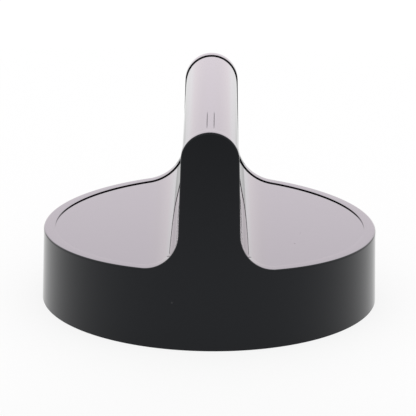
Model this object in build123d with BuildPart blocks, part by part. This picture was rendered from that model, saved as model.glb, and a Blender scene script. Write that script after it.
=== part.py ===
from build123d import *
import os
from math import asin, cos, degrees, radians, sin, sqrt, tan

# A push-on stove knob in millimetres. The grip bar runs along Y with its pointing end at -Y,
# +Z is up, and the origin is the centre of the ring that the skirt stands on.

# Outer form
base_diameter = 44.0
total_height = 27.8
skirt_draft = 1.5  # degrees that the outer wall leans inwards
wing_edge_height = 9.5
wing_slope = 2.4  # degrees that a wing rises towards the grip
crown_radius = 3.6
grip_draft = 1.4  # degrees that a grip side leans inwards
root_radius = 4.8
edge_radius = 0.25

# Raised rim round the top outline
rim_width = 1.5
rim_height = 0.15

# Indicator: two fine lines side by side on the crown, their beds arcs that run out at both ends
mark_spacing = 0.86
mark_line_width = 0.08
mark_length = 9.6
mark_depth = 0.1
mark_rim_gap = 0.4

# Hollow underside
skirt_wall = 2.0
top_wall = 2.0
rib_thickness = 1.2
rib_recess = 2.5
rib_angles = (45, 135)

# Hub with its socket for a D shaft, the flat towards +Y
shaft_diameter = 8.0
shaft_flat = 6.5  # from the shaft's flat to its opposite side
shaft_clearance = 0.1
socket_depth = 9.0
socket_lead = 0.5
hub_wall = 2.0
hub_recess = 1.0

# Spring clip in its slot behind the flat
clip_thickness = 0.4
clip_width = 4.0
clip_leg = 6.0
clip_gap = 0.7
clip_bow = 0.35
clip_clearance = 0.05

# Tools that cut a form run past it by this much
overrun = 1.0

# Sizes that follow from those above
base_radius = base_diameter / 2
bore_radius = shaft_diameter / 2 + shaft_clearance
hub_radius = bore_radius + hub_wall
flat_y = shaft_flat - shaft_diameter / 2 + shaft_clearance
bend_radius = (clip_gap + clip_thickness) / 2
slot_depth = clip_gap + 2 * clip_thickness + clip_clearance
slot_width = clip_width + 2 * clip_clearance
slot_height = clip_leg + bend_radius + clip_thickness / 2 + 2 * clip_clearance
crown_end_y = base_radius - total_height * tan(radians(skirt_draft))
mark_bed_radius = (mark_length**2 / 4 + mark_depth**2) / (2 * mark_depth)
mark_bed_y = rim_width + mark_rim_gap + mark_length / 2 - crown_end_y
mark_line_z = total_height - crown_radius + sqrt((crown_radius - rim_height) ** 2 - mark_spacing**2 / 4)
mark_bed_z = mark_line_z - mark_depth + mark_bed_radius
hub_mouth = Plane.XY.offset(hub_recess)


def skirt_cone(inset, mode):
    """The drafted round of the outer wall, moved in by `inset`, running past the crown."""
    height = total_height + overrun
    foot_radius = base_radius - inset
    head_radius = foot_radius - height * tan(radians(skirt_draft))
    upright = (Align.CENTER, Align.CENTER, Align.MIN)
    return Cone(foot_radius, head_radius, height, align=upright, mode=mode)


def top_section(depth):
    """Section across the grip at `depth` under its top surface: crown, sides, roots and wings."""
    lean, rise = radians(grip_draft), radians(wing_slope)
    crown = crown_radius - depth
    crown_z = total_height - crown_radius
    side_x = crown * cos(lean)
    side_z = crown_z + crown * sin(lean)
    ridge_z = wing_edge_height + base_radius * tan(rise) - depth / cos(rise)
    root_x = (side_x + (side_z - ridge_z) * tan(lean)) / (1 - tan(rise) * tan(lean))
    root_z = ridge_z - root_x * tan(rise)
    edge_z = ridge_z - base_radius * tan(rise)
    with BuildSketch(Plane.XZ) as section:
        with BuildLine():
            CenterArc((0, crown_z), crown, grip_draft, 180 - 2 * grip_draft)
            flank = FilletPolyline(
                (side_x, side_z), (root_x, root_z), (base_radius, edge_z), radius=root_radius + depth
            )
            outer = Line((base_radius, edge_z), (base_radius, 0))
            mirror(flank, about=Plane.YZ)
            mirror(outer, about=Plane.YZ)
            Line((-base_radius, 0), (base_radius, 0))
        make_face()
    return section.sketch


def socket_section(plane, growth):
    """D section of the shaft socket on `plane`, larger by `growth` all round."""
    radius = bore_radius + growth
    with BuildSketch(plane) as section:
        Circle(radius)
        with Locations((0, flat_y + growth)):
            Rectangle(2 * radius, radius, align=(Align.CENTER, Align.MIN), mode=Mode.SUBTRACT)
    return section.sketch


# Space above the panel, inside the rim
with BuildPart() as top_recess:
    skirt_cone(rim_width, Mode.ADD)
    extrude(top_section(rim_height), amount=base_radius, both=True, mode=Mode.SUBTRACT)

# Spaces of the indicator's lines, which stay inside the rim
with BuildPart() as mark_lines:
    with BuildSketch(Plane.YZ.offset(mark_spacing / 2)):
        with Locations((mark_bed_y, mark_bed_z)):
            Circle(mark_bed_radius)
    extrude(amount=mark_line_width / 2, both=True)
    skirt_cone(rim_width, Mode.INTERSECT)
    mirror(about=Plane.YZ)

# Space under the top and inside the skirt, round the hub and the ribs
with BuildPart() as hollow:
    extrude(top_section(top_wall), amount=base_radius, both=True)
    skirt_cone(skirt_wall, Mode.INTERSECT)
    with BuildSketch(hub_mouth):
        Circle(hub_radius)
    extrude(amount=total_height, mode=Mode.SUBTRACT)
    with BuildSketch(Plane.XY.offset(rib_recess)):
        for angle in rib_angles:
            Rectangle(base_diameter, rib_thickness, rotation=angle)
    extrude(amount=total_height, mode=Mode.SUBTRACT)

with BuildPart() as knob_body:
    extrude(top_section(0), amount=base_radius, both=True)
    skirt_cone(0, Mode.INTERSECT)
    # Top outline eased all round, over the wings and the grip
    wall_edges = knob_body.faces().filter_by(GeomType.CONE).edges()
    outline = wall_edges.filter_by(GeomType.LINE, reverse=True).filter_by_position(
        Axis.Z, wing_edge_height / 2, total_height
    )
    fillet(outline, edge_radius)
    # Panel set below the rim, the lines in it, and the hollow below
    for space in (top_recess, mark_lines, hollow):
        add(space.part, mode=Mode.SUBTRACT)
    # D-shaped socket with a lead-in at its mouth
    extrude(socket_section(hub_mouth, 0), amount=socket_depth, mode=Mode.SUBTRACT)
    lead_in = [socket_section(hub_mouth, socket_lead), socket_section(hub_mouth.offset(socket_lead), 0)]
    loft(lead_in, ruled=True, mode=Mode.SUBTRACT)
    # Slot for the spring clip, open to the socket through the flat
    with BuildSketch(hub_mouth):
        with Locations((0, flat_y)):
            Rectangle(slot_width, slot_depth, align=(Align.CENTER, Align.MIN))
    extrude(amount=slot_height, mode=Mode.SUBTRACT)

# The strip starts low at the back of the slot, turns over at the top and bows into the socket
bow_radius = (clip_leg**2 / 4 + clip_bow**2) / (2 * clip_bow)
bow_angle = degrees(asin(clip_leg / (2 * bow_radius)))
clip_back_y = flat_y + slot_depth - clip_clearance - clip_thickness / 2
clip_foot_z = hub_recess + clip_clearance
with BuildPart() as spring_clip:
    with BuildSketch(Plane.YZ.offset(-clip_width / 2)):
        with BuildLine():
            back = Line((clip_back_y, clip_foot_z), (clip_back_y, clip_foot_z + clip_leg))
            bend = JernArc(back @ 1, back % 1, bend_radius, 180 - bow_angle)
            JernArc(bend @ 1, bend % 1, bow_radius, 2 * bow_angle)
        trace(line_width=clip_thickness)
    extrude(amount=clip_width)

os.makedirs("parts", exist_ok=True)
knob_body.part.label = "knob_body"
export_step(knob_body.part, "parts/knob_body.step")
spring_clip.part.label = "spring_clip"
export_step(spring_clip.part, "parts/spring_clip.step")
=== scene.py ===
from math import asin, cos, radians, sin, tan

import bmesh
import bpy
import numpy as np
from mathutils import Matrix, Vector


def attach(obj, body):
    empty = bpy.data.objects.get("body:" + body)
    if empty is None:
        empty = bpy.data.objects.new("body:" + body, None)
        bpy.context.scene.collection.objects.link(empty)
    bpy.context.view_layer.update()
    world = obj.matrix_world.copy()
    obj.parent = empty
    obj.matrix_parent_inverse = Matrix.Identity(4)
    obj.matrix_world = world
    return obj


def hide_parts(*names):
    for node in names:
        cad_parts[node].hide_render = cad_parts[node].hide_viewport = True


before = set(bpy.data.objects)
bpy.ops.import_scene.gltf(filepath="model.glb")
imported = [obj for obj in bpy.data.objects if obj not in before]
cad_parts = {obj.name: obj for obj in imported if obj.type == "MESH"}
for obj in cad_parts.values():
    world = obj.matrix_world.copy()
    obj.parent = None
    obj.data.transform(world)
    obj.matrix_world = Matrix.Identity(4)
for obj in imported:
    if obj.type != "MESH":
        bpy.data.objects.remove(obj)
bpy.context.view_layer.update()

# A push-on stove knob in metres. The grip bar runs along Y with its pointing end at -Y, +Z is up, and
# the origin is the centre of the ring that the skirt stands on.

MM = 0.001

# Outer form
base_radius = 22.0 * MM
total_height = 27.8 * MM
skirt_draft = radians(1.5)
wing_edge_height = 9.5 * MM
wing_slope = radians(2.4)
crown_radius = 3.6 * MM
grip_draft = radians(1.4)
root_radius = 4.8 * MM
edge_radius = 0.25 * MM

# Raised rim, and how far its top bulges between its two eased edges
rim_width = 1.5 * MM
rim_height = 0.15 * MM
rim_edge_radius = 0.04 * MM
rim_bulge = 0.008 * MM

# Indicator: two fine lines side by side on the crown, their beds arcs that run out at both ends
mark_spacing = 0.86 * MM
mark_line_width = 0.08 * MM
mark_length = 9.6 * MM
mark_depth = 0.1 * MM
mark_rim_gap = 0.4 * MM

# Hollow underside
skirt_wall = 2.0 * MM
top_wall = 2.0 * MM
rib_thickness = 1.2 * MM
rib_recess = 2.5 * MM
rib_angles = (radians(45), radians(135))

# Hub with its socket for a D shaft, the flat towards +Y
bore_radius = 4.1 * MM
flat_y = 2.6 * MM
socket_depth = 9.0 * MM
socket_lead = 0.5 * MM
hub_radius = 6.1 * MM
hub_recess = 1.0 * MM

# Spring clip and its slot behind the flat
clip_thickness = 0.4 * MM
clip_width = 4.0 * MM
clip_leg = 6.0 * MM
clip_gap = 0.7 * MM
clip_bow = 0.35 * MM
clip_clearance = 0.05 * MM
clip_edge = 0.06 * MM
slot_depth = clip_gap + 2 * clip_thickness + clip_clearance
slot_width = clip_width + 2 * clip_clearance
slot_height = clip_leg + clip_gap / 2 + clip_thickness + 2 * clip_clearance

# Points per stretch of the surfaces
CROWN_STEPS = 32
SIDE_STEPS = 9
ROOT_STEPS = 48
WING_STEPS = 44
EASE_STEPS = 8
WALL_STEPS = 7
ROW_STEPS = 40
MARK_STEPS = 25
CEILING_STEPS = 14
ROUND_STEPS = 96
CLIP_STEPS = 14

# Places of the columns across an indicator line, in widths of the line
MARK_COLUMNS = np.linspace(-0.75, 0.75, 7)

# Points closer than this are one, edges sharper than this stay creased, and a straight stretch has one
# more ring at this share of its length from either end
MERGE_DISTANCE = 1e-8
SHARP_ANGLE = radians(32)
HOLD_SHARE = 0.004

# Section of the top: unit normals of side and wing, and the centre of the root arc that touches both
crown_z = total_height - crown_radius
ridge_z = wing_edge_height + base_radius * tan(wing_slope)
side_normal = np.array([cos(grip_draft), sin(grip_draft)])
wing_normal = np.array([sin(wing_slope), cos(wing_slope)])
side_reach = crown_radius + crown_z * sin(grip_draft) + root_radius
wing_reach = ridge_z * cos(wing_slope) + root_radius
root_centre = np.linalg.solve(np.array([side_normal, wing_normal]), [side_reach, wing_reach])
mark_front = rim_width + mark_rim_gap - (base_radius - total_height * tan(skirt_draft))
mark_middle = mark_front + mark_length / 2


def section_to_root():
    """Half section of the top as (points, normals) in XZ, from the crown's middle to the root's outer end.

    The crown is an arc about its centre, the side a straight line that leans by the grip draft, and the
    root a hollow arc that touches the side and the wing. Extra points stand across the indicator's lines.
    """
    panel_crown = crown_radius - rim_height
    line_x = mark_spacing / 2 + mark_line_width * MARK_COLUMNS
    angles = np.linspace(np.pi / 2, grip_draft, CROWN_STEPS)
    angles = np.sort(np.concatenate([angles, np.arccos(line_x / panel_crown)]))[::-1]
    crown_normals = np.stack([np.cos(angles), np.sin(angles)], -1)
    crown = np.array([0, crown_z]) + crown_radius * crown_normals
    turns = np.linspace(np.pi + grip_draft, 1.5 * np.pi - wing_slope, ROOT_STEPS)
    root_normals = -np.stack([np.cos(turns), np.sin(turns)], -1)
    root = root_centre - root_radius * root_normals
    share = np.linspace(0, 1, SIDE_STEPS)[1:-1, None]
    side = crown[-1] + share * (root[0] - crown[-1])
    side_normals = np.broadcast_to(side_normal, side.shape)
    return np.concatenate([crown, side, root]), np.concatenate([crown_normals, side_normals, root_normals])


SECTION, SECTION_NORMALS = section_to_root()


def half_outline(depth, inset):
    """Outline where the top, moved in by depth, meets the skirt's cone, moved in by inset, for x and y >= 0.

    Up to the root the section's own points are moved along their normals. On the wing x is the tip's x
    times the sine of an evenly spread angle, so that the outline closes smoothly at the tip. y is the
    half chord of the cone at each height. Returns points (n, 3) and the top's normals (n, 3).
    """
    points = SECTION - depth * SECTION_NORMALS
    foot = base_radius - inset
    ridge = ridge_z - depth / cos(wing_slope)
    lean, rise = tan(skirt_draft), tan(wing_slope)
    tip_x = (foot - lean * ridge) / (1 - lean * rise)
    spread = np.linspace(asin(points[-1, 0] / tip_x), np.pi / 2, WING_STEPS)[1:]
    wing_x = tip_x * np.sin(spread)
    wing = np.stack([wing_x, ridge - rise * wing_x], -1)
    points = np.concatenate([points, wing])
    normals = np.concatenate([SECTION_NORMALS, np.broadcast_to(wing_normal, wing.shape)])
    x, z = points.T
    y = np.sqrt(np.maximum((foot - lean * z) ** 2 - x**2, 0))
    y[-1] = 0
    zero = np.zeros_like(x)
    return np.stack([x, y, z], -1), np.stack([normals[:, 0], zero, normals[:, 1]], -1)


def whole_ring(half):
    """Closed ring from a half outline, mirrored into all four quarters, anticlockwise from above."""
    quarters = [
        half * [1, -1, 1],
        half[-2::-1],
        half[1:] * [-1, 1, 1],
        half[-2:0:-1] * [-1, -1, 1],
    ]
    return np.concatenate(quarters)


def eased_rings(radius, inset, facing):
    """Rings of a ball-rolled edge between the top and a cone wall.

    The ball's centre runs on the top moved in by its radius and the rim's bulge, and on the cone moved in
    by inset. Each ring is that centre plus the radius times a unit vector, which turns evenly from the
    top's normal to the wall's: outwards where facing is 1, inwards where it is -1.
    """
    centres, top = half_outline(rim_bulge + radius, inset)
    around = np.hypot(centres[:, 0], centres[:, 1])[:, None]
    level = centres[:, :2] / around * cos(skirt_draft)
    wall = facing * np.concatenate([level, np.full_like(around, sin(skirt_draft))], 1)
    angle = np.arccos((top * wall).sum(1))[:, None]
    rings = []
    for share in np.linspace(0, 1, EASE_STEPS):
        direction = np.sin((1 - share) * angle) * top + np.sin(share * angle) * wall
        rings.append(whole_ring(centres + radius * direction / np.sin(angle)))
    return rings


def between(first, last, steps, lift=0):
    """Rings on the straight lines from one ring to another, both ends left out.

    They are evenly spread, with one more close to either end, so that shading there stays true. A lift
    raises them by a parabola that is highest in the middle.
    """
    shares = np.concatenate([[HOLD_SHARE], np.linspace(0, 1, steps + 1)[1:-1], [1 - HOLD_SHARE]])
    return [first + t * (last - first) + lift * 4 * t * (1 - t) for t in shares]


def on_foot(ring, inset):
    """The ring carried down its cone to the ground: each point keeps its direction from the axis."""
    around = np.hypot(ring[:, 0], ring[:, 1])[:, None]
    flat = ring * [1, 1, 0]
    return flat / around * (base_radius - inset)


def strip_quads(rings, count, first=0):
    """Quads between each ring and the next, closed round the ring."""
    here = np.arange(count)
    after = (here + 1) % count
    starts = first + count * np.arange(rings - 1)[:, None]
    corners = [starts + here, starts + count + here, starts + count + after, starts + after]
    return np.stack(corners, -1).reshape(-1, 4)


def grid_quads(columns, rows, first=0):
    """Quads of a grid that is stored row after row."""
    index = first + np.arange(columns * rows).reshape(rows, columns)
    corners = [index[:-1, :-1], index[:-1, 1:], index[1:, 1:], index[1:, :-1]]
    return np.stack(corners, -1).reshape(-1, 4)


def top_surface(depth, inset, shares):
    """Grid across the knob: columns along the section from tip to tip, rows at shares of each half chord.

    A point is the section's point, moved in by depth, with y equal to its share of the half chord there.
    Returns points (rows, columns, 3) and the columns' normals (columns, 3).
    """
    half, normals = half_outline(depth, inset)
    mirrored = [-1, 1, 1]
    across = np.concatenate([half[:0:-1] * mirrored, half])
    normals = np.concatenate([normals[:0:-1] * mirrored, normals])
    grid = np.repeat(across[None], len(shares), 0)
    grid[:, :, 1] *= shares[:, None]
    return grid, normals


def panel_surface():
    """The panel inside the rim, with the indicator's lines pressed in along its normals.

    The depth of a line is mark_depth times a V across its width and a parabola along its length.
    """
    crown_end = half_outline(rim_height, rim_width)[0][0, 1]
    bed = (mark_middle + mark_length / 2 * np.linspace(-1, 1, MARK_STEPS)) / crown_end
    rows = np.unique(np.concatenate([np.linspace(-1, 1, ROW_STEPS), bed]))
    grid, normals = top_surface(rim_height, rim_width, rows)
    x, y, _ = np.moveaxis(grid, -1, 0)
    across = np.maximum(1 - np.abs(np.abs(x) - mark_spacing / 2) / (mark_line_width / 2), 0)
    along = np.maximum(1 - ((y - mark_middle) / (mark_length / 2)) ** 2, 0)
    return grid - mark_depth * (across * along)[:, :, None] * normals


def shell_form():
    """Points and quads of the knob without its hub: panel, step, rim, skirt, foot and hollow, all one skin.

    Every ring has the same columns, so each stretch is a strip of quads from one ring to the next.
    """
    lean = cos(skirt_draft)
    step_edge = eased_rings(rim_edge_radius, rim_width - rim_edge_radius / lean, -1)[::-1]
    outer_edge = eased_rings(edge_radius, edge_radius / lean, 1)
    panel_half, normals = half_outline(rim_height, rim_width)
    panel_ring = whole_ring(panel_half)
    ceiling_ring = whole_ring(half_outline(top_wall, skirt_wall)[0])
    foot = on_foot(outer_edge[-1], 0)
    inner_foot = on_foot(ceiling_ring, skirt_wall)
    bulge = rim_bulge * whole_ring(normals)
    rings = [panel_ring, *step_edge, *between(step_edge[-1], outer_edge[0], EASE_STEPS, bulge), *outer_edge]
    rings += [*between(outer_edge[-1], foot, WALL_STEPS), foot]
    inside = len(rings) - 1
    rings += [inner_foot, *between(inner_foot, ceiling_ring, WALL_STEPS), ceiling_ring]
    panel = panel_surface()
    ceiling = top_surface(top_wall, skirt_wall, np.linspace(-1, 1, CEILING_STEPS))[0]
    count = len(panel_ring)
    points = np.concatenate([np.concatenate(rings), panel.reshape(-1, 3), ceiling.reshape(-1, 3)])
    panel_first = count * len(rings)
    ceiling_first = panel_first + panel.shape[0] * panel.shape[1]
    strips = strip_quads(len(rings), count)
    panel_quads = grid_quads(panel.shape[1], panel.shape[0], panel_first)
    ceiling_quads = grid_quads(ceiling.shape[1], ceiling.shape[0], ceiling_first)[:, ::-1]
    inner = np.concatenate([
        np.arange(len(strips)) >= inside * count,
        np.zeros(len(panel_quads), bool),
        np.ones(len(ceiling_quads), bool),
    ])
    return points, np.concatenate([strips, panel_quads, ceiling_quads]), inner


def loft_form(start, end):
    """Points and faces between two outlines with as many points, ruled straight, with both ends closed."""
    count = len(start)
    sides = strip_quads(2, count).tolist()
    ends = [list(range(count)), list(range(2 * count - 1, count - 1, -1))]
    return np.concatenate([end, start]), [*sides, *ends]


def prism_form(outline, travel):
    """Points and faces of an outline carried along one straight line, with both ends closed."""
    return loft_form(outline, outline + np.asarray(travel))


def circle_points(radius, z):
    """Points of a level circle about the axis, running anticlockwise from above."""
    turn = np.linspace(0, 2 * np.pi, ROUND_STEPS, endpoint=False)
    return np.stack([radius * np.cos(turn), radius * np.sin(turn), np.full_like(turn, z)], -1)


def d_points(growth, z):
    """Points of the socket's D: an arc of the bore's radius, cut off by the flat towards +Y."""
    radius = bore_radius + growth
    half_turn = np.arccos((flat_y + growth) / radius)
    turn = np.pi / 2 + np.linspace(half_turn, 2 * np.pi - half_turn, ROUND_STEPS)
    return np.stack([radius * np.cos(turn), radius * np.sin(turn), np.full_like(turn, z)], -1)


def level_box(width, low_y, high_y, z):
    """Corners of a level rectangle, centred in X, anticlockwise from above."""
    half = width / 2
    return np.array([[-half, low_y, z], [half, low_y, z], [half, high_y, z], [-half, high_y, z]])


def turned(points, angle):
    """The points turned about the axis."""
    return points @ np.array(Matrix.Rotation(angle, 3, "Z")).T


def mesh_object(name, points, faces, materials, shade=None):
    """A new mesh object at the origin, with doubles merged and, where given, a material number per face."""
    mesh = bpy.data.meshes.new(name)
    mesh.from_pydata(np.asarray(points), [], [list(face) for face in faces])
    for material in materials:
        mesh.materials.append(material)
    if shade is not None:
        mesh.polygons.foreach_set("material_index", np.asarray(shade, np.int32))
    work = bmesh.new()
    work.from_mesh(mesh)
    bmesh.ops.remove_doubles(work, verts=work.verts, dist=MERGE_DISTANCE)
    work.to_mesh(mesh)
    work.free()
    piece = bpy.data.objects.new(name, mesh)
    bpy.context.scene.collection.objects.link(piece)
    return piece


def combine(piece, tool, operation):
    """The piece joined with, cut by or kept within a closed tool, which is used up."""
    step = piece.modifiers.new("form", "BOOLEAN")
    step.operation = operation
    step.solver = "EXACT"
    step.object = tool
    graph = bpy.context.evaluated_depsgraph_get()
    result = bpy.data.meshes.new_from_object(piece.evaluated_get(graph))
    piece.modifiers.clear()
    worn = piece.data
    name = worn.name
    piece.data = result
    bpy.data.meshes.remove(worn)
    result.name = name
    spent = tool.data
    bpy.data.objects.remove(tool)
    bpy.data.meshes.remove(spent)


def smooth_between_edges(piece):
    """Smooth shading, with a crease kept wherever two faces meet at more than SHARP_ANGLE."""
    piece.data.shade_smooth()
    piece.data.set_sharp_from_angle(angle=SHARP_ANGLE)


def face_outwards(piece):
    """Every face of a closed piece turned to point out of it."""
    work = bmesh.new()
    work.from_mesh(piece.data)
    bmesh.ops.recalc_face_normals(work, faces=work.faces)
    work.to_mesh(piece.data)
    work.free()


def make_body(finishes):
    """The moulding: the shell joined with hub and ribs, then cut by socket, lead-in and clip slot."""

    def tool(name, form):
        points, faces = form
        return mesh_object(name, points, faces, finishes, np.ones(len(faces)))

    points, quads, inner = shell_form()
    body = mesh_object("knob_moulding", points, quads, finishes, inner)
    up = np.array([0, 0, total_height])
    # Hub and ribs run up past the top and then are kept within the middle of its wall
    core = tool("hub", prism_form(circle_points(hub_radius, hub_recess), up))
    rib_reach = base_radius - skirt_wall / 2 - total_height * tan(skirt_draft) / 2
    for angle in rib_angles:
        rib = turned(level_box(2 * rib_reach, -rib_thickness / 2, rib_thickness / 2, rib_recess), angle)
        combine(core, tool("rib", prism_form(rib, up)), "UNION")
    middle = (rim_height + top_wall) / 2
    half = half_outline(middle, 0)[0] * [1, 0, 1]
    lid = np.concatenate([half[::-1], half[1:] * [-1, 1, 1], [[-base_radius, 0, 0], [base_radius, 0, 0]]])
    lid[:, 1] = -base_radius
    combine(core, tool("lid", prism_form(lid[::-1], [0, 2 * base_radius, 0])), "INTERSECT")
    combine(body, core, "UNION")
    # The cutting tools start below the hub's mouth, where the lead-in is as much wider again
    below = hub_recess - socket_lead
    deep = [0, 0, socket_depth + socket_lead]
    combine(body, tool("socket", prism_form(d_points(0, below), deep)), "DIFFERENCE")
    lead = loft_form(d_points(2 * socket_lead, below), d_points(0, hub_recess + socket_lead))
    combine(body, tool("lead", lead), "DIFFERENCE")
    slot = level_box(slot_width, flat_y - clip_clearance, flat_y + slot_depth, below)
    combine(body, tool("slot", prism_form(slot, [0, 0, slot_height + socket_lead])), "DIFFERENCE")
    smooth_between_edges(body)
    return body


def clip_path():
    """Points and normals in YZ of the strip's middle line: a straight back leg, a half turn and a bowed leg.

    The half turn stops short by the bow's angle, and the bow is the arc of that rise over the leg's length.
    """
    bend_radius = (clip_gap + clip_thickness) / 2
    bow_radius = (clip_leg**2 / 4 + clip_bow**2) / (2 * clip_bow)
    bow_angle = asin(clip_leg / (2 * bow_radius))
    back_y = flat_y + slot_depth - clip_clearance - clip_thickness / 2
    foot_z = hub_recess + clip_clearance
    top = np.array([back_y - bend_radius, foot_z + clip_leg])
    leg = np.stack([np.full(CLIP_STEPS, back_y), foot_z + np.linspace(0, clip_leg, CLIP_STEPS)], -1)
    leg_normals = np.broadcast_to([1.0, 0.0], leg.shape)
    turn = np.linspace(0, np.pi - bow_angle, CLIP_STEPS)[1:]
    bend_normals = np.stack([np.cos(turn), np.sin(turn)], -1)
    bend = top + bend_radius * bend_normals
    turn = turn[-1] + np.linspace(0, 2 * bow_angle, CLIP_STEPS)[1:]
    bow_normals = np.stack([np.cos(turn), np.sin(turn)], -1)
    bow = bend[-1] + bow_radius * (bow_normals - bend_normals[-1])
    return np.concatenate([leg, bend, bow]), np.concatenate([leg_normals, bend_normals, bow_normals])


def make_clip(finish):
    """The spring clip: a flat strip section with eased corners, carried along the strip's middle line."""
    path, normals = clip_path()
    half_width, half_thick = clip_width / 2, clip_thickness / 2
    wide = np.array([half_width, half_width, half_width - clip_edge, clip_edge - half_width])
    wide = np.concatenate([wide, -wide])
    thick = np.array([clip_edge - half_thick, half_thick - clip_edge, half_thick, half_thick])
    thick = np.concatenate([thick, -thick])
    strip = path[:, None] + thick[None, :, None] * normals[:, None]
    across = np.broadcast_to(wide, strip.shape[:2])
    points = np.concatenate([across[:, :, None], strip], -1)
    steps, count = strip.shape[:2]
    ends = [list(range(count)), list(range(steps * count - 1, (steps - 1) * count - 1, -1))]
    faces = [*strip_quads(steps, count).tolist(), *ends]
    clip = mesh_object("spring_strip", points.reshape(-1, 3), faces, [finish])
    face_outwards(clip)
    smooth_between_edges(clip)
    return clip


def add_node(tree, kind, inputs=None, **settings):
    """A node with its settings and input values. A value that is a socket is linked."""
    node = tree.nodes.new(kind)
    for name, value in settings.items():
        setattr(node, name, value)
    for name, value in (inputs or {}).items():
        if isinstance(value, bpy.types.NodeSocket):
            tree.links.new(value, node.inputs[name])
        else:
            node.inputs[name].default_value = value
    return node


def new_group(name, inputs, outputs):
    """An empty node group with its named sockets, and its input and output nodes."""
    group = bpy.data.node_groups.new(name, "ShaderNodeTree")
    for label, kind in inputs.items():
        group.interface.new_socket(label, in_out="INPUT", socket_type=kind)
    for label, kind in outputs.items():
        group.interface.new_socket(label, in_out="OUTPUT", socket_type=kind)
    return group, group.nodes.new("NodeGroupInput"), group.nodes.new("NodeGroupOutput")


def mould_grain_group():
    """Height of a moulded skin: soft noise with Size waves per metre."""
    group, given, made = new_group(
        "mould_grain", {"Place": "NodeSocketVector", "Size": "NodeSocketFloat"}, {"Height": "NodeSocketFloat"}
    )
    inputs = {"Vector": given.outputs["Place"], "Scale": given.outputs["Size"], "Detail": GRAIN_DETAIL}
    noise = add_node(group, "ShaderNodeTexNoise", inputs)
    group.links.new(noise.outputs["Fac"], made.inputs["Height"])
    return group


def fine_dust_group():
    """Mask of sparse specks: round spots in the few cells whose random value is over 1 - Share."""
    sockets = {"Place": "NodeSocketVector", "Cells": "NodeSocketFloat", "Share": "NodeSocketFloat"}
    group, given, made = new_group("fine_dust", sockets, {"Mask": "NodeSocketFloat"})
    cells = add_node(
        group, "ShaderNodeTexVoronoi", {"Vector": given.outputs["Place"], "Scale": given.outputs["Cells"]}
    )
    pick = add_node(group, "ShaderNodeSeparateColor", {"Color": cells.outputs["Color"]})
    limit = add_node(group, "ShaderNodeMath", operation="SUBTRACT")
    limit.inputs[0].default_value = 1.0
    group.links.new(given.outputs["Share"], limit.inputs[1])
    chosen = add_node(group, "ShaderNodeMath", operation="GREATER_THAN")
    group.links.new(pick.outputs["Red"], chosen.inputs[0])
    group.links.new(limit.outputs[0], chosen.inputs[1])
    fade = {"Value": cells.outputs["Distance"], "From Min": SPECK_EDGE, "From Max": SPECK_CORE}
    spot = add_node(group, "ShaderNodeMapRange", fade, interpolation_type="SMOOTHSTEP")
    mask = add_node(group, "ShaderNodeMath", operation="MULTIPLY")
    group.links.new(chosen.outputs[0], mask.inputs[0])
    group.links.new(spot.outputs["Result"], mask.inputs[1])
    group.links.new(mask.outputs[0], made.inputs["Mask"])
    return group


def new_material(name):
    """A material with only its output, its Principled shader and the place on the piece, in metres."""
    material = bpy.data.materials.new(name)
    material.use_nodes = True
    tree = material.node_tree
    tree.nodes.clear()
    output = add_node(tree, "ShaderNodeOutputMaterial")
    shader = add_node(tree, "ShaderNodeBsdfPrincipled")
    tree.links.new(shader.outputs["BSDF"], output.inputs["Surface"])
    place = add_node(tree, "ShaderNodeTexCoord").outputs["Object"]
    return material, tree, shader, place


def use_group(tree, group, inputs):
    """A placed copy of a node group."""
    return add_node(tree, "ShaderNodeGroup", inputs, node_tree=group)


def mapped(tree, value, low, high):
    """A 0 to 1 value spread over another range."""
    spread = {"Value": value, "To Min": low, "To Max": high}
    return add_node(tree, "ShaderNodeMapRange", spread).outputs["Result"]


def blended(tree, share, first, second):
    """Two colours mixed by a share. A Mix node has several sockets of one name, so colours go by number."""
    mix = add_node(tree, "ShaderNodeMix", data_type="RGBA")
    tree.links.new(share, mix.inputs["Factor"])
    mix.inputs[6].default_value = (*first, 1)
    mix.inputs[7].default_value = (*second, 1)
    return mix.outputs[2]


def bumped(tree, height, distance):
    """A normal bent by a height."""
    return add_node(tree, "ShaderNodeBump", {"Height": height, "Distance": distance}).outputs["Normal"]


def black_finish(name, grain, dust, look):
    """Moulded black plastic: dust specks pale and dull, grain that moves the gloss and bends the normal."""
    material, tree, shader, place = new_material(name)
    sown = {"Place": place, "Cells": look["dust_cells"], "Share": look["dust_share"]}
    specks = use_group(tree, dust, sown).outputs["Mask"]
    height = use_group(tree, grain, {"Place": place, "Size": look["grain_waves"]}).outputs["Height"]
    colour = blended(tree, specks, look["colour"], look["dust_colour"])
    tree.links.new(colour, shader.inputs["Base Color"])
    gloss = add_node(tree, "ShaderNodeMath", operation="MAXIMUM")
    tree.links.new(mapped(tree, height, *look["rough"]), gloss.inputs[0])
    tree.links.new(mapped(tree, specks, 0.0, look["dust_rough"]), gloss.inputs[1])
    tree.links.new(gloss.outputs[0], shader.inputs["Roughness"])
    tree.links.new(bumped(tree, height, look["grain_relief"]), shader.inputs["Normal"])
    shader.inputs["IOR"].default_value = PLASTIC_IOR
    shader.inputs["Specular Tint"].default_value = (*PLASTIC_SHINE, 1)
    return material


def steel_finish(grain):
    """Rolled spring strip: streaks along its length in colour and gloss, and a faint relief."""
    material, tree, shader, place = new_material("spring_steel")
    stretched = add_node(tree, "ShaderNodeMapping", {"Vector": place, "Scale": STEEL_STREAK})
    height = use_group(tree, grain, {"Place": stretched.outputs["Vector"], "Size": 1.0}).outputs["Height"]
    tree.links.new(blended(tree, height, STEEL_DARK, STEEL_PALE), shader.inputs["Base Color"])
    tree.links.new(mapped(tree, height, *STEEL_ROUGH), shader.inputs["Roughness"])
    tree.links.new(bumped(tree, height, STEEL_RELIEF), shader.inputs["Normal"])
    shader.inputs["Metallic"].default_value = 1.0
    return material


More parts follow.
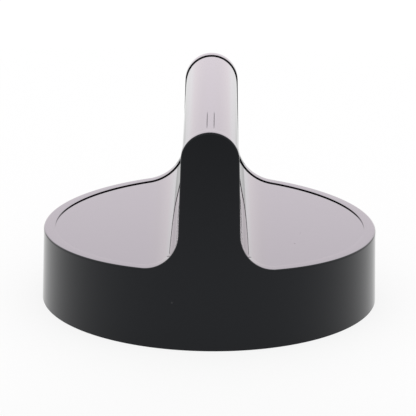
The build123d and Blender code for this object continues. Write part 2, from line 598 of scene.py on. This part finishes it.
def make_floor():
    """A plain pale floor under the knob: one flat face.

    To the camera and in gloss, part of its white is its own and dims towards the front as painted shade, so
    the knob's front wall reflects a darker floor. The rest takes the light, so the knob keeps its shadow.
    """
    material, tree, shader, place = new_material("pale_floor")
    shader.inputs["Base Color"].default_value = (*FLOOR_COLOUR, 1)
    shader.inputs["Roughness"].default_value = 1.0
    shader.inputs["Specular IOR Level"].default_value = 0.0
    path = add_node(tree, "ShaderNodeLightPath").outputs
    seen = add_node(tree, "ShaderNodeMath", operation="MAXIMUM")
    tree.links.new(path["Is Camera Ray"], seen.inputs[0])
    tree.links.new(path["Is Glossy Ray"], seen.inputs[1])
    # Painted shade: the floor's own white dims towards the front, so that the knob's front wall reflects a
    # darker floor
    along = add_node(tree, "ShaderNodeSeparateXYZ", {"Vector": place}).outputs["Y"]
    painted_shade = {"Value": along, "From Min": PAINTED_SHADE_END, "From Max": PAINTED_SHADE_START, "To Min": PAINTED_SHADE_SHARE}
    level = add_node(tree, "ShaderNodeMapRange", painted_shade, interpolation_type="SMOOTHSTEP").outputs["Result"]
    white = add_node(tree, "ShaderNodeEmission", {"Strength": level})
    both = add_node(tree, "ShaderNodeMixShader", {"Fac": mapped(tree, seen.outputs[0], 0.0, FLOOR_OWN)})
    tree.links.new(shader.outputs["BSDF"], both.inputs[1])
    tree.links.new(white.outputs["Emission"], both.inputs[2])
    tree.links.new(both.outputs["Shader"], tree.get_output_node("ALL").inputs["Surface"])
    corners = level_box(FLOOR_WIDTH, FLOOR_FRONT, FLOOR_BACK, 0)
    mesh_object("floor", corners, [range(len(corners))], [material])


def make_surround():
    """Soft studio light: plain all round, with a bright panel behind the knob that fades at its sides."""
    world = bpy.data.worlds.new("studio")
    bpy.context.scene.world = world
    world.use_nodes = True
    tree = world.node_tree
    tree.nodes.clear()
    direction = add_node(tree, "ShaderNodeTexCoord").outputs["Generated"]
    parts = add_node(tree, "ShaderNodeSeparateXYZ", {"Vector": direction}).outputs
    share = add_node(tree, "ShaderNodeMapRange", {"Value": parts["Z"], "From Min": -1.0}).outputs["Result"]
    ramp = add_node(tree, "ShaderNodeValToRGB", {"Fac": share})
    stops = ramp.color_ramp.elements
    while len(stops) < len(PANEL_LIGHT):
        stops.new(1.0)
    for stop, (elevation, colour) in zip(stops, PANEL_LIGHT):
        stop.position = (1 + sin(radians(elevation))) / 2
        stop.color = (*(np.array(colour) / PANEL_STRENGTH), 1)
    aside = add_node(tree, "ShaderNodeMath", operation="ABSOLUTE")
    tree.links.new(parts["X"], aside.inputs[0])
    fade = {"Value": aside.outputs[0], "From Min": sin(PANEL_END), "From Max": sin(PANEL_FADE)}
    within = add_node(tree, "ShaderNodeMapRange", fade, interpolation_type="SMOOTHSTEP").outputs["Result"]
    behind = add_node(tree, "ShaderNodeMath", operation="MULTIPLY", use_clamp=True)
    tree.links.new(within, behind.inputs[0])
    tree.links.new(parts["Y"], behind.inputs[1])
    mask = add_node(tree, "ShaderNodeMapRange", {"Value": behind.outputs[0], "From Max": PANEL_DEEP})
    plain = add_node(tree, "ShaderNodeBackground", {"Color": (*PLAIN_LIGHT, 1)})
    bright = {"Color": ramp.outputs["Color"], "Strength": PANEL_STRENGTH}
    panel = add_node(tree, "ShaderNodeBackground", bright)
    light = add_node(tree, "ShaderNodeMixShader", {"Fac": mask.outputs["Result"]})
    tree.links.new(plain.outputs["Background"], light.inputs[1])
    tree.links.new(panel.outputs["Background"], light.inputs[2])
    output = add_node(tree, "ShaderNodeOutputWorld")
    tree.links.new(light.outputs["Shader"], output.inputs["Surface"])


def make_camera():
    """A long lens in front of the pointing end, looking down at the grip, turned a little about its view."""
    camera = bpy.data.objects.new("camera", bpy.data.cameras.new("camera"))
    bpy.context.scene.collection.objects.link(camera)
    camera.data.lens = LENS
    camera.data.clip_start = CLIP_START
    ahead = (CAMERA_AIM - CAMERA_PLACE).normalized()
    right = ahead.cross(Vector((0, 0, 1))).normalized()
    up = right.cross(ahead)
    turn = Matrix((right, up, -ahead)).transposed() @ Matrix.Rotation(CAMERA_ROLL, 3, "Z")
    camera.matrix_world = Matrix.Translation(CAMERA_PLACE) @ turn.to_4x4()
    bpy.context.scene.camera = camera


# Finishes: colours are linear, sizes of patterns in waves or cells per metre, reliefs in metres
PLASTIC_IOR = 1.6
PLASTIC_SHINE = (0.35, 0.365, 0.395)
GLOSS_LOOK = {
    "colour": (0.002, 0.0022, 0.0026),
    "rough": (0.02, 0.05),
    "grain_waves": 260.0,
    "grain_relief": 1.5e-6,
    "dust_colour": (0.03, 0.03, 0.03),
    "dust_rough": 0.4,
    "dust_cells": 1100.0,
    "dust_share": 0.004,
}
SATIN_LOOK = {
    "colour": (0.012, 0.012, 0.013),
    "rough": (0.35, 0.6),
    "grain_waves": 5200.0,
    "grain_relief": 1.2e-5,
    "dust_colour": (0.1, 0.1, 0.1),
    "dust_rough": 0.7,
    "dust_cells": 1500.0,
    "dust_share": 0.03,
}
GRAIN_DETAIL = 3.0
SPECK_EDGE = 0.22
SPECK_CORE = 0.08
STEEL_DARK = (0.46, 0.47, 0.49)
STEEL_PALE = (0.6, 0.61, 0.63)
STEEL_ROUGH = (0.18, 0.36)
STEEL_STREAK = (9000.0, 9000.0, 300.0)
STEEL_RELIEF = 3e-7

# Floor in metres, with the share of its white that is its own and where along Y it dims as painted shade
FLOOR_COLOUR = (0.97, 0.97, 0.97)
FLOOR_OWN = 0.8
# Painted shade: where along Y the floor's own white dims, and the share of it that is left at the front
PAINTED_SHADE_START = -0.02
PAINTED_SHADE_END = -0.2
PAINTED_SHADE_SHARE = 0.5
FLOOR_WIDTH = 0.8
FLOOR_FRONT = -0.5
FLOOR_BACK = 0.13

# Light: plain all round, and the panel behind by elevation in degrees, with where its sides fade
PLAIN_LIGHT = (0.95, 0.95, 0.95)
PANEL_STRENGTH = 3.2
PANEL_FADE = radians(20)
PANEL_END = radians(32)
PANEL_DEEP = 0.3
PANEL_LIGHT = (
    (-90, PLAIN_LIGHT),
    (-13, (1.0, 1.0, 1.0)),
    (-3, (1.7, 1.65, 1.7)),
    (3, (1.98, 1.83, 1.92)),
    (12, (2.34, 2.15, 2.29)),
    (17, (2.64, 2.42, 2.61)),
    (24, (3.15, 2.89, 3.12)),
    (36, PLAIN_LIGHT),
    (90, PLAIN_LIGHT),
)

# Camera, as fitted to the photograph
CAMERA_PLACE = Vector((0.564, -294.877, 101.677)) * MM
CAMERA_AIM = Vector((-0.252, 0, 11.837)) * MM
CAMERA_ROLL = radians(0.61)
LENS = 203.32
CLIP_START = 0.01

grain = mould_grain_group()
dust = fine_dust_group()
gloss_black = black_finish("gloss_black", grain, dust, GLOSS_LOOK)
satin_black = black_finish("satin_black", grain, dust, SATIN_LOOK)
body = make_body([gloss_black, satin_black])
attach(body, "root")
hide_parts("knob_body")
clip = make_clip(steel_finish(grain))
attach(clip, "root")
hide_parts("spring_clip")
make_floor()
make_surround()
make_camera()
bpy.context.scene.view_settings.view_transform = "Standard"
